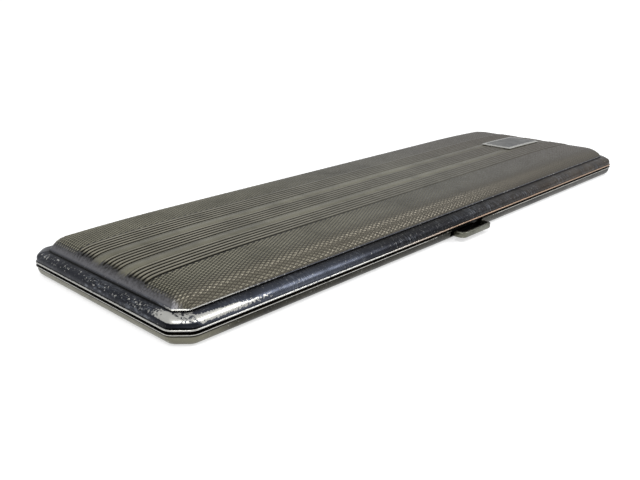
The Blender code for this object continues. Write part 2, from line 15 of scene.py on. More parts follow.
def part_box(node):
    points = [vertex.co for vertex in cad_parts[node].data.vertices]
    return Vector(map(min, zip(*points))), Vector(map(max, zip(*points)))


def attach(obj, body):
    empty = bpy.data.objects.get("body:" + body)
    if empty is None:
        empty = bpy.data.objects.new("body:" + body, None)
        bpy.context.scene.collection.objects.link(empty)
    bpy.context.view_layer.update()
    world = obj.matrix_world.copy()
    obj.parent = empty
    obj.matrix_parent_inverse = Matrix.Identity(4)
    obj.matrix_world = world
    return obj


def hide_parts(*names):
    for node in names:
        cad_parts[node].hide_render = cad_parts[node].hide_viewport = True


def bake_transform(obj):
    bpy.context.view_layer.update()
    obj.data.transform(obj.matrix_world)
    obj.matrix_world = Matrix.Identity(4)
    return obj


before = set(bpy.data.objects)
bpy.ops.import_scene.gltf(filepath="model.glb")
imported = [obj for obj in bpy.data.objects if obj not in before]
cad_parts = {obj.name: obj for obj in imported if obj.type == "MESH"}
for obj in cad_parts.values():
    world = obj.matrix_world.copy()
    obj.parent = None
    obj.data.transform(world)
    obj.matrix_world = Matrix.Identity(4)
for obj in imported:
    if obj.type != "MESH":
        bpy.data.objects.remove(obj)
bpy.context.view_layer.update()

MM = 0.001

# The case, as the CAD nodes give it
lid_box = [[value / MM for value in corner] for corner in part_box("lid_shell")]
base_box = [[value / MM for value in corner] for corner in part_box("base_shell")]
plate_box = [[value / MM for value in corner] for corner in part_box("cartouche")]
strap_box = [[value / MM for value in corner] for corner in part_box("elastic_strap")]
half_length = lid_box[1][0]
half_width = (lid_box[1][1] - lid_box[0][1]) / 2
case_y = (lid_box[1][1] + lid_box[0][1]) / 2
lid_top = lid_box[1][2]
lid_rim = lid_box[0][2]
base_rim = base_box[1][2]
parting = (lid_rim + base_rim) / 2

SHEET = 0.8
BEAD_RADIUS = 0.3
BEAD_QUIRK = 0.08
RIM_CANT = 5.1
RIM_SOFTENING = 3.8
BOTTOM_INSET = 3.4
BOTTOM_SOFTENING = 2.0
END_BORDER = 3.8
SIDE_BORDER = 4.6
PANEL_CANT = 3.2
PANEL_SOFTENING = 0.5
PANEL_STEP = 0.3
PANEL_FALL_SHARE = 0.53
SHOULDER_POWER = 19
END_DIP = 1.3
END_DIP_LENGTH = 45.0
BORDER_PULL = (0.02, 0.9)
FIT = 0.3
COVE_RADIUS = 1.7
COVE_FROM_END = 9.7
NOTCH_HALF = 10.2
NOTCH_LOW = 1.4
NOTCH_DEPTH = 2.25
PLATE_THICKNESS = 0.6
PLATE_BEVEL = 0.4
# How bright or dark the rolled beads are painted, from the seam round to the outside: painted shade on the
# half towards the seam, then a bright band that is partly rubbed silver and partly a painted highlight
BEAD_LIGHT_AND_SHADE = (-1, -1, -1, -0.4, 1.2, 1.3, 1.2, 0.8, 0)
# How far along the front the painted highlight of the near corner reaches
HIGHLIGHT_LENGTH = 36.0
# How far from the left end the base is painted paler, as painted light
LIT_END_LENGTH = 20.0
# Levels of the bright and dark marks: a painted highlight in full and in half, a frosted band that is partly
# a painted reflection, and painted shade at a foot and along the panel's edge, under a step, and in a seam
# or a hollow
FULL_HIGHLIGHT = 1.3
HALF_HIGHLIGHT = 0.6
FROSTED_AND_LIT = 0.3
PAINTED_SOFT_SHADE = -0.6
PAINTED_STEP_SHADE = -0.8
PAINTED_DEEP_SHADE = -1
# The plate's bevel is painted bright: rubbed silver and a painted highlight
PLATE_RIM_WEAR_AND_LIGHT = 1.1

# The engine turning, which is a common lengthwise pattern of reeds, plain bands and hatched fields
REED_PITCH = 1.83
REEDS_IN_GROUP = 5
REED_RISE = 0.28
BAND_WIDTH = 4.25
BAND_RISE = 0.12
END_MARGIN = 0.35
SIDE_MARGIN = 0.12
CANT_MARGIN = 0.25
END_FADE = 4.2
SIDE_FADE = 0.6
DIAMOND_LENGTH = 2.25
DIAMOND_WIDTH = 1.18
DIAMOND_RISE = 0.16
TURNING_LIFT = 0.02
TURNING_BACKING = 0.15
GROUND_DEPTH = 0.12
# From here on the hatching is worn shallower towards the right
HATCH_WORN_FROM = -50.0
HATCH_WORN_LENGTH = 100.0
HATCH_KEPT = 0.4

STRAP_RIBS = 9
# The real leaf spring bends between its rivets and the hook, which pushes its middle; its halves are cut at
# stations over that stretch
SPRING_HELD_FROM = 30.0
SPRING_STATIONS = 16

side_inset = BEAD_RADIUS + BEAD_QUIRK
lid_border_low = lid_rim + 2 * BEAD_RADIUS + BEAD_QUIRK
base_side_high = base_rim - 2 * BEAD_RADIUS - BEAD_QUIRK
panel_half_length = half_length - END_BORDER
panel_half_width = half_width - SIDE_BORDER
panel_edge_height = lid_top - PANEL_FALL_SHARE * (lid_top - parting)
group_half = REEDS_IN_GROUP * REED_PITCH / 2
reeding_half = 3 * group_half + BAND_WIDTH


def between(low, high, share):
    return low + (high - low) * share


def curve_point(start, pull, end, share):
    """A point of the curve that leaves start towards pull and reaches end from pull."""
    return tuple(
        between(between(first, middle, share), between(middle, last, share), share)
        for first, middle, last in zip(start, pull, end)
    )


def panel_shares(x, y):
    """How far a point has come from the middle to the panel's end, side and cant, each as a share."""
    past_square = max(abs(x) - panel_half_length + panel_half_width, 0)
    cant_share = (past_square + abs(y)) / (2 * panel_half_width - PANEL_CANT)
    return past_square / panel_half_width, abs(y) / panel_half_width, cant_share


def crown(x, y):
    """The height of the cushioned panel: it dips gently to both ends and has round shoulders."""
    past_level = max(abs(x) - panel_half_length + END_DIP_LENGTH, 0)
    middle = lid_top - END_DIP * (past_level / END_DIP_LENGTH) ** 2
    return between(middle, panel_edge_height, max(panel_shares(x, y)) ** SHOULDER_POWER)


def on_panel(x, y, lift):
    """The point over (x, y) that lies a lift off the panel, measured square to its surface."""
    slope_x = (crown(x + FIT, y) - crown(x - FIT, y)) / (2 * FIT)
    slope_y = (crown(x, y + FIT) - crown(x, y - FIT)) / (2 * FIT)
    return Vector((x, y, crown(x, y))) + Vector((-slope_x, -slope_y, 1)).normalized() * lift


def measured(section, reach):
    """Places along a section of the panel, from the middle out, and their distances along the surface."""
    places = numpy.linspace(0, reach, 800)
    heights = numpy.array([section(place) for place in places])
    steps = numpy.hypot(numpy.diff(places), numpy.diff(heights))
    return places, numpy.concatenate(([0], numpy.cumsum(steps)))


def place_at(measure, length):
    """The place that lies a length along a measured section. The length may be negative."""
    places, lengths = measure
    return math.copysign(numpy.interp(abs(length), lengths, places), length)


along_panel = measured(lambda x: crown(x, 0), panel_half_length - END_MARGIN)
across_panel = measured(lambda y: crown(0, y), panel_half_width - SIDE_MARGIN)


def softened(corner, before, after, radius, steps=7):
    """The points of a round of the given radius at a corner of an outline."""
    into = (corner - before).normalized()
    out = (after - corner).normalized()
    turn = into.angle(out)
    centre = corner - into * radius * math.tan(turn / 2) + Vector((-into.y, into.x)) * radius
    first = Vector((into.y, -into.x)) * radius
    return [centre + Matrix.Rotation(turn * step / steps, 2) @ first for step in range(steps + 1)]


def outline(reach_x, reach_y, cant, softening):
    """A rectangle with canted, softened corners, with more points towards the ends of its long sides."""
    straight_x = reach_x - cant
    straight_y = reach_y - cant
    corners = [
        Vector((straight_x, -reach_y)),
        Vector((reach_x, -straight_y)),
        Vector((reach_x, straight_y)),
        Vector((straight_x, reach_y)),
    ]
    corners += [-corner for corner in corners]
    points = []
    for index, corner in enumerate(corners):
        after = corners[(index + 1) % len(corners)]
        points += softened(corner, corners[index - 1], after, softening)
        start = points[-1]
        end = after + (corner - after).normalized() * softening * math.tan(math.pi / 8)
        stations = 21 if corner.y == after.y else 5
        for step in range(1, stations):
            points.append(start.lerp(end, (1 - math.cos(math.pi * step / stations)) / 2))
    return points


def border_light_and_frost(x, y, share):
    """How bright or dark the lid's border is painted at a share of its rise. The cant next to the front
    carries a painted highlight over painted shade at its foot, and from there a painted highlight tapers
    along the front, where the key lamp's reflection falls. The left end has a frosted band half-way up,
    partly a painted reflection, and painted shade where the border meets the step. The rest keeps its film."""
    corner_x = panel_half_length - PANEL_CANT
    corner_y = panel_half_width - PANEL_CANT
    if x < -corner_x and y < -corner_y:
        bare = FULL_HIGHLIGHT if x < RIM_CANT * 0.6 - half_length else HALF_HIGHLIGHT
        return bare if share > 0.35 else PAINTED_SOFT_SHADE
    if x < -corner_x:
        if share > 0.9:
            return PAINTED_SOFT_SHADE
        return FROSTED_AND_LIT if 0.3 < share < 0.8 else 0
    if y > -panel_half_width:
        return 0
    taper = (x + half_length) / HIGHLIGHT_LENGTH
    inside = min((between(0.9, 0.3, taper) - share) / 0.1, (share - 0.1) / 0.08, (1 - taper) * 3)
    return between(0, 0.9, max(min(inside, 1), 0))


def panel_edge_wear_and_light(x, y):
    """How bright the panel's edge is painted: along the front it is rubbed silver with a painted highlight,
    most of all at its left-hand end, and along its other sides it takes painted shade.
    """
    if y > 2 * PANEL_CANT - panel_half_width:
        return PAINTED_SOFT_SHADE
    return max(1 - (x + half_length) / (2 * HIGHLIGHT_LENGTH), 0.3)


def lit_end_share(x):
    """1 next to the base's left end, where its film is painted paler as painted light, falling to 0."""
    return min(max((LIT_END_LENGTH - half_length - x) / LIT_END_LENGTH, 0) * 2, 1)


def grown_skin(rings):
    """A closed skin: a disc's rim is extruded from ring to ring. A ring is (points, marks, ground). The
    marks are 1 or more where the metal is painted bright, as rubbed silver and as painted highlights, and
    below 0 where painted shade lies, down to -1. Ground is 1 where the film has its second tint, which on
    the base is painted light. Each is one number for the ring or a list with one for each of its points."""
    shape = bmesh.new()
    station = shape.verts.layers.int.new("station")
    wear_and_light = shape.verts.layers.float.new("wear_and_light")
    ground = shape.verts.layers.float.new("ground")
    bmesh.ops.create_circle(shape, cap_ends=True, segments=len(rings[0][0]), radius=1)
    verts = list(shape.verts)
    for index, vert in enumerate(verts):
        vert[station] = index
    rim = list(shape.edges)
    for number, (points, tone, plain) in enumerate(rings):
        if number:
            grown = bmesh.ops.extrude_edge_only(shape, edges=rim)["geom"]
            verts = [item for item in grown if isinstance(item, bmesh.types.BMVert)]
            fresh = set(verts)
            edges = [item for item in grown if isinstance(item, bmesh.types.BMEdge)]
            rim = [edge for edge in edges if fresh.issuperset(edge.verts)]
        for vert in verts:
            vert.co = points[vert[station]]
            vert[wear_and_light], vert[ground] = (
                value[vert[station]] if isinstance(value, list) else value for value in (tone, plain)
            )
    bmesh.ops.contextual_create(shape, geom=rim)
    bmesh.ops.recalc_face_normals(shape, faces=shape.faces)
    return shape


def piece(name, shape, body, material, replaced=(), sharp=30, in_place=False):
    """A finished piece from a bmesh in millimetres, placed with the case. It rides on a body, if one is
    named."""
    bmesh.ops.translate(shape, verts=shape.verts, vec=(0, 0 if in_place else case_y, 0))
    bmesh.ops.scale(shape, verts=shape.verts, vec=(MM, MM, MM))
    mesh = bpy.data.meshes.new(name)
    shape.to_mesh(mesh)
    shape.free()
    mesh.shade_smooth()
    mesh.set_sharp_from_angle(angle=math.radians(sharp))
    made = bpy.data.objects.new(name, mesh)
    bpy.context.collection.objects.link(made)
    mesh.materials.append(material)
    if body:
        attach(made, body)
    if replaced:
        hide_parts(*replaced)
    return made


def carved(shape, tool):
    """The shape with a second one cut out of it."""
    made = []
    for part in (shape, tool):
        mesh = bpy.data.meshes.new("carving")
        part.to_mesh(mesh)
        part.free()
        made.append(bpy.data.objects.new("carving", mesh))
        bpy.context.collection.objects.link(made[-1])
    cut = made[0].modifiers.new("cut", "BOOLEAN")
    cut.operation = "DIFFERENCE"
    cut.solver = "EXACT"
    cut.object = made[1]
    result = made[0].evaluated_get(bpy.context.evaluated_depsgraph_get()).to_mesh()
    whole = bmesh.new()
    whole.from_mesh(result)
    for part in made:
        bpy.data.objects.remove(part, do_unlink=True)
    return whole


def cove():
    """The round hollow along the back in which the knuckles lie."""
    shape = bmesh.new()
    turn = Matrix.Translation((0, half_width, parting)) @ Matrix.Rotation(math.pi / 2, 4, "Y")
    bmesh.ops.create_cone(
        shape,
        cap_ends=True,
        segments=40,
        radius1=COVE_RADIUS,
        radius2=COVE_RADIUS,
        depth=2 * (half_length - COVE_FROM_END),
        matrix=turn,
    )
    return shape


def block(low, high):
    shape = bmesh.new()
    size = Vector(high) - Vector(low)
    middle = (Vector(high) + Vector(low)) / 2
    bmesh.ops.create_cube(shape, matrix=Matrix.Translation(middle) @ Matrix.Diagonal((*size, 1)))
    return shape


def bead(rim, way):
    """The rolled bead's section as (inset, height)."""
    turns = [math.pi * (step / 8 - 0.5) for step in range(9)]
    return [
        (BEAD_RADIUS * (1 - math.cos(turn)), rim + way * BEAD_RADIUS * (1 + math.sin(turn)))
        for turn in turns
    ]


def rim_ring(inset, height):
    """The rim's outline drawn in by an inset, at one height."""
    cant = RIM_CANT - inset * (2 - math.sqrt(2))
    softening = between(RIM_SOFTENING, BOTTOM_SOFTENING, min(inset / BOTTOM_INSET, 1))
    return [(*point, height) for point in outline(half_length - inset, half_width - inset, cant, softening)]


def panel_outline(draw_in):
    across = panel_half_width - draw_in
    left = across / panel_half_width
    return outline(panel_half_length - draw_in * 1.2, across, PANEL_CANT * left, PANEL_SOFTENING * left)


def border_ring(share, skin):
    """A ring of the lid's plain border, from the bead at share 0 to the panel's foot at 1."""
    inset_share, rise_share = curve_point((0, 0), BORDER_PULL, (1, 1), share)
    inset_pace, rise_pace = (between(pull, 1 - pull, share) for pull in BORDER_PULL)
    slope = math.atan2(rise_pace, inset_pace)
    inward = skin * math.sin(slope)
    down = skin * math.cos(slope) * min(share * 3, 1)
    ring = outline(
        half_length - between(side_inset, END_BORDER, inset_share) - inward,
        half_width - between(side_inset, SIDE_BORDER, inset_share) - inward,
        between(RIM_CANT, PANEL_CANT, rise_share),
        between(RIM_SOFTENING, PANEL_SOFTENING, inset_share),
    )
    feet = [crown(*point) - PANEL_STEP for point in panel_outline(0)]
    return [(*point, between(lid_border_low, foot, rise_share) - down) for point, foot in zip(ring, feet)]


def panel_ring(share, skin):
    """A ring of the cushioned panel, sunk square to the surface by a skin."""
    return [on_panel(x, y, -skin) for x, y in panel_outline(panel_half_width * share)]


def lid_sheet():
    """The lid in one pressed sheet: lining, rolled rim, convex border, step and the panel's ground."""
    steps = [step / 14 for step in range(15)]
    rings = [(panel_ring(share, SHEET), 0, 0) for share in (0.6, 0.35, 0.2, 0.12, 0.07, 0.035, 0.01)]
    rings += [(border_ring(share, SHEET), 0, 0) for share in reversed(steps[1:])]
    rings.append((rim_ring(side_inset + SHEET, lid_rim + BEAD_RADIUS), 0, 0))
    rings.append((rim_ring(side_inset + SHEET, lid_rim), 0, 0))
    # The bead is painted dark towards the seam and bright round its crest, partly rubbing and partly a
    # painted highlight. The border's first and last rings and the step take painted shade, the border takes
    # the painted highlights and shade of the function above, and the panel's edge is rubbed and painted
    # bright along the front.
    rings += [(rim_ring(*place), tone, 0) for place, tone in zip(bead(lid_rim, 1), BEAD_LIGHT_AND_SHADE)]
    rings.append((border_ring(0, 0), PAINTED_DEEP_SHADE, 0))
    for share in steps[1:-1]:
        ring = border_ring(share, 0)
        rings.append((ring, [border_light_and_frost(x, y, share) for x, y, z in ring], 0))
    rings.append((border_ring(1, 0), PAINTED_DEEP_SHADE, 0))
    rings.append((panel_ring(0, PANEL_STEP / 3), PAINTED_STEP_SHADE, 0.5))
    for share in (0, 0.003):
        ring = panel_ring(share, 0)
        rings.append((ring, [panel_edge_wear_and_light(x, y) for x, y, z in ring], 1))
    rings.append((panel_ring(0.006, 0), 0, 1))
    shares = (0.009, 0.014, 0.02, 0.03, 0.045, 0.065, 0.09, 0.12, 0.17, 0.25, 0.4, 0.6, 0.8)
    rings += [(panel_ring(share, GROUND_DEPTH), 0, 1) for share in shares]
    return carved(grown_skin(rings), cove())


def base_side(share, skin):
    """(inset, height) of the base's side, from the bead at 0 to the flat bottom at 1."""
    pull = (between(side_inset, BOTTOM_INSET, 0.02), base_side_high * 0.05)
    inset, height = curve_point((side_inset, base_side_high), pull, (BOTTOM_INSET, 0), share)
    return inset + skin * (1 - share), height + skin * share


def base_sheet():
    """The base tray in one pressed sheet, with its rolled rim, its hinge cove and the catch's notch."""
    steps = [step / 10 for step in range(11)]
    rings = [(rim_ring(*base_side(share, SHEET)), 0, 0) for share in reversed(steps)]
    rings.append((rim_ring(side_inset + SHEET, base_rim), 0, 0))
    # The bead is painted dark towards the seam and bright round its crest, partly rubbing and partly a
    # painted highlight; the ring below the bead and the foot take painted shade, and the side is painted
    # paler towards the left end as painted light
    rings += [(rim_ring(*place), tone, 0) for place, tone in zip(bead(base_rim, -1), BEAD_LIGHT_AND_SHADE)]
    rings.append((rim_ring(*base_side(0, 0)), PAINTED_DEEP_SHADE, 0))
    for share in steps[1:-1]:
        ring = rim_ring(*base_side(share, 0))
        rings.append((ring, 0, [lit_end_share(x) for x, y, z in ring]))
    rings.append((rim_ring(*base_side(1, 0)), PAINTED_SOFT_SHADE, 0))
    shape = carved(grown_skin(rings), cove())
    low = (-NOTCH_HALF, -half_width - NOTCH_DEPTH, NOTCH_LOW)
    return carved(shape, block(low, (NOTCH_HALF, NOTCH_DEPTH - half_width, lid_top)))


def reed_lines():
    """(y, rise share, brightness) across the three groups of reeds and the two plain bands. The brightness
    is 1 on a reed's crest and -1 on a band."""
    lines = []
    for group in (-1, 0, 1):
        low = group * (2 * group_half + BAND_WIDTH) - group_half
        for reed in range(REEDS_IN_GROUP):
            for step in range(8):
                rise = math.sin(math.pi * step / 8) ** 0.7
                lines.append((low + REED_PITCH * (reed + step / 8), rise, rise))
        high = low + 2 * group_half
        lines.append((high, 0, 0))
        if group < 1:
            for place in (0.15, BAND_WIDTH / 2, BAND_WIDTH - 0.15):
                lines.append((high + place, BAND_RISE / REED_RISE, -1))
    return lines


def reeding():
    """The reeds and plain bands, which follow the cushioned panel and die away at both ends."""
    lines = reed_lines()
    shape = bmesh.new()
    crest = shape.verts.layers.float.new("crest")
    ground = shape.verts.layers.float.new("ground")
    across = len(lines) - 1
    bmesh.ops.create_grid(shape, x_segments=72, y_segments=across, size=1)
    reach = along_panel[1][-1]
    for vert in shape.verts:
        along = reach * math.sin(math.pi / 2 * vert.co.x)
        y, rise, bright = lines[round((vert.co.y + 1) / 2 * across)]
        left = min((reach - abs(along)) / END_FADE, 1)
        vert[crest] = bright * left
        vert[ground] = 1 - left
        vert.co = on_panel(place_at(along_panel, along), y, TURNING_LIFT + REED_RISE * rise * left)
    return backed(shape)


def backed(shape):
    """A turned surface given a thin backing, so that it is a closed sheet let into the panel."""
    bmesh.ops.recalc_face_normals(shape, faces=shape.faces)
    if sum(face.normal.z for face in shape.faces) < 0:
        bmesh.ops.reverse_faces(shape, faces=shape.faces)
    bmesh.ops.solidify(shape, geom=list(shape.faces), thickness=TURNING_BACKING)
    return shape


def diamond_field(side):
    """One hatched field: two families of slanting cuts leave a low pyramid in each diamond between them.
    It is laid out on the unrolled surface, as it was cut. The cuts run out shallower at its edges, and
    wear has left less of them towards the right."""
    shape = bmesh.new()
    crest = shape.verts.layers.float.new("crest")
    ground = shape.verts.layers.float.new("ground")
    low = reeding_half + 0.1
    high = across_panel[1][-1]
    reach = along_panel[1][-1]
    middle = side * (low + high) / 2
    half = (high - low) / 2
    count = 2 * math.ceil(reach / DIAMOND_LENGTH + half / DIAMOND_WIDTH) + 2
    bmesh.ops.create_grid(shape, x_segments=count, y_segments=count, size=count / 2)
    squash = Matrix.Diagonal((DIAMOND_LENGTH / math.sqrt(2), DIAMOND_WIDTH / math.sqrt(2), 1, 1))
    place = Matrix.Translation((0, middle, 0)) @ squash @ Matrix.Rotation(math.pi / 4, 4, "Z")
    bmesh.ops.transform(shape, verts=shape.verts, matrix=place)
    outside = []
    for face in shape.faces:
        centre = face.calc_center_median()
        if abs(centre.x) > reach + DIAMOND_LENGTH or abs(centre.y - middle) > half + DIAMOND_WIDTH:
            outside.append(face)
    bmesh.ops.delete(shape, geom=outside, context="FACES")
    for tip in bmesh.ops.poke(shape, faces=shape.faces)["verts"]:
        tip[crest] = 1
    trim(shape, [((0, low * side), (0, -side)), ((0, high * side), (0, side))])
    trim(shape, [((way * reach, 0), (way, 0)) for way in (-1, 1)])
    for vert in shape.verts:
        along, across = abs(vert.co.x), abs(vert.co.y)
        side_share = min(high - across, across - low) / SIDE_FADE + 0.15
        worn = min(max((vert.co.x - HATCH_WORN_FROM) / HATCH_WORN_LENGTH, 0), 1)
        kept = between(1, HATCH_KEPT, worn)
        vert[crest] *= max(min((reach - along) / END_FADE, side_share, 1), 0) * kept
        vert[ground] = 1 - min((reach - along) / END_FADE, 1)
        vert.co.x = place_at(along_panel, vert.co.x)
        vert.co.y = place_at(across_panel, vert.co.y)
    diagonal = panel_half_length + panel_half_width - PANEL_CANT - CANT_MARGIN * math.sqrt(2)
    trim(shape, [((way * diagonal, 0), (way, side)) for way in (-1, 1)])
    for vert in shape.verts:
        vert.co = on_panel(vert.co.x, vert.co.y, TURNING_LIFT + DIAMOND_RISE * vert[crest])
    return backed(shape)


def trim(shape, cuts):
    """Cuts a level sheet off along lines, each (point, direction of what is cleared)."""
    for point, direction in cuts:
        bmesh.ops.bisect_plane(
            shape,
            geom=[*shape.verts, *shape.edges, *shape.faces],
            dist=0.001,
            plane_co=(*point, 0),
            plane_no=Vector((*direction, 0)).normalized(),
            clear_outer=True,
        )


def plate():
    """The plain plate for initials, bent to the panel's fall, with a bevel round its face that is painted
    bright: rubbed silver and a painted highlight.
    """
    shape = bmesh.new()
    wear_and_light = shape.verts.layers.float.new("wear_and_light")
    low, high = plate_box
    middle = Matrix.Translation(((low[0] + high[0]) / 2, 0, 0))
    size = Matrix.Diagonal(((high[0] - low[0]) / 2, (high[1] - low[1]) / 2, 1, 1))
    bmesh.ops.create_grid(shape, x_segments=14, y_segments=8, size=1, matrix=middle @ size)
    grown = bmesh.ops.extrude_face_region(shape, geom=list(shape.faces))["geom"]
    upper = {item for item in grown if isinstance(item, bmesh.types.BMVert)}
    for vert in shape.verts:
        rise = FIT + (PLATE_THICKNESS if vert in upper else 0)
        vert.co.z = crown(vert.co.x, vert.co.y) + rise
    bmesh.ops.recalc_face_normals(shape, faces=shape.faces)
    rims = [edge for edge in shape.edges if edge.calc_face_angle(0) > 1 and upper.issuperset(edge.verts)]
    bevelled = bmesh.ops.bevel(
        shape, geom=rims, offset=PLATE_BEVEL, segments=3, profile=0.5, affect="EDGES", material=-1
    )
    # The bevel is painted bright: rubbed silver and a painted highlight
    for vert in bevelled["verts"]:
        vert[wear_and_light] = PLATE_RIM_WEAR_AND_LIGHT
    return shape


def strap():
    """The woven elastic: a ribbon whose thick cords run lengthwise under its face threads."""
    shape = bmesh.new()
    low, high = strap_box
    bmesh.ops.create_grid(shape, x_segments=60, y_segments=8 * STRAP_RIBS, size=1)
    thickness = high[2] - low[2]
    for vert in shape.verts:
        across = vert.co.y
        rib = abs(math.sin(math.pi * STRAP_RIBS * (across + 1) / 2))
        vert.co.x *= high[0]
        vert.co.y *= (high[1] - low[1]) / 2
        vert.co.z = low[2] + thickness * between(0.7, 0.95, rib)
    bmesh.ops.recalc_face_normals(shape, faces=shape.faces)
    bmesh.ops.solidify(shape, geom=list(shape.faces), thickness=thickness * 0.6)
    return shape


def cad_shape(node):
    """The shape of a CAD node in millimetres, with its corners joined."""
    shape = bmesh.new()
    shape.from_mesh(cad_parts[node].data)
    bmesh.ops.scale(shape, verts=shape.verts, vec=(1 / MM,) * 3)
    bmesh.ops.remove_doubles(shape, verts=shape.verts, dist=0.001)
    return shape


def eased_copy(node, body, material, painted_shade_box=None):
    """A smooth piece with the shape of a CAD node, which it stands for. Inside the box given last, if any,
    painted shade lies, as in a hollow."""
    shape = cad_shape(node)
    wear_and_light = shape.verts.layers.float.new("wear_and_light")
    bmesh.ops.dissolve_limit(shape, angle_limit=math.radians(0.5), verts=shape.verts, edges=shape.edges)
    if painted_shade_box:
        low, high = painted_shade_box
        for vert in shape.verts:
            if all(first < value < last for first, value, last in zip(low, vert.co, high)):
                vert[wear_and_light] = PAINTED_DEEP_SHADE
    return piece(f"{node}_finished", shape, body, material, [node], sharp=35, in_place=True)


def spring_half(side, material):
    """Half of the leaf spring, cut crosswise at stations between its middle and where its rivets hold it,
    and left on no body. On the real case its riveted end stays with the base and its middle gives way to the
    hook.
    """
    shape = cad_shape("catch_spring")
    trim(shape, [((0, 0), (-side, 0))])
    bmesh.ops.holes_fill(shape, edges=[edge for edge in shape.edges if edge.is_boundary])
    for station in range(1, SPRING_STATIONS):
        cut = (side * SPRING_HELD_FROM * station / SPRING_STATIONS, 0, 0)
        parts = [*shape.verts, *shape.edges, *shape.faces]
        bmesh.ops.bisect_plane(shape, geom=parts, dist=0.001, plane_co=cut, plane_no=(1, 0, 0))
    name = "spring_half_left" if side < 0 else "spring_half_right"
    half = piece(name, shape, None, material, ["catch_spring"], sharp=35, in_place=True)
    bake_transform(half)


def linear(colour):
    """The linear colour of an sRGB hex value."""
    channels = [int(colour[start : start + 2], 16) / 255 for start in (0, 2, 4)]
    straight = [value / 12.92 if value < 0.04045 else ((value + 0.055) / 1.055) ** 2.4 for value in channels]
    return (*straight, 1)


def add(tree, kind, values=(), links=(), **settings):
    """A node of a material, with its settings, its plain input values and its links. A Map Range maps from
    its inputs 1 and 2 to its inputs 3 and 4."""
    made = tree.nodes.new(kind)
    for name, value in settings.items():
        setattr(made, name, value)
    for socket, value in dict(values).items():
        made.inputs[socket].default_value = value
    for socket, source in dict(links).items():
        tree.links.new(source, made.inputs[socket])
    return made


def new_finish(name):
    """A material, its nodes, its shader and its place on the piece."""
    material = bpy.data.materials.new(name)
    material.use_nodes = True
    tree = material.node_tree
    place = add(tree, "ShaderNodeTexCoord").outputs["Object"]
    return material, tree, tree.nodes["Principled BSDF"], place


def coated(tree, shader, ground, films):
    """Lays films of tarnish, stains, wear, painted light and painted shade over a ground colour, each (share
    socket, colour).
    """
    below = None
    for share, colour in films:
        links = {0: share}
        if below:
            links[6] = below
        values = {6: linear(ground), 7: linear(colour)}
        below = add(tree, "ShaderNodeMix", values, links, data_type="RGBA").outputs[2]
    tree.links.new(below, shader.inputs["Base Color"])


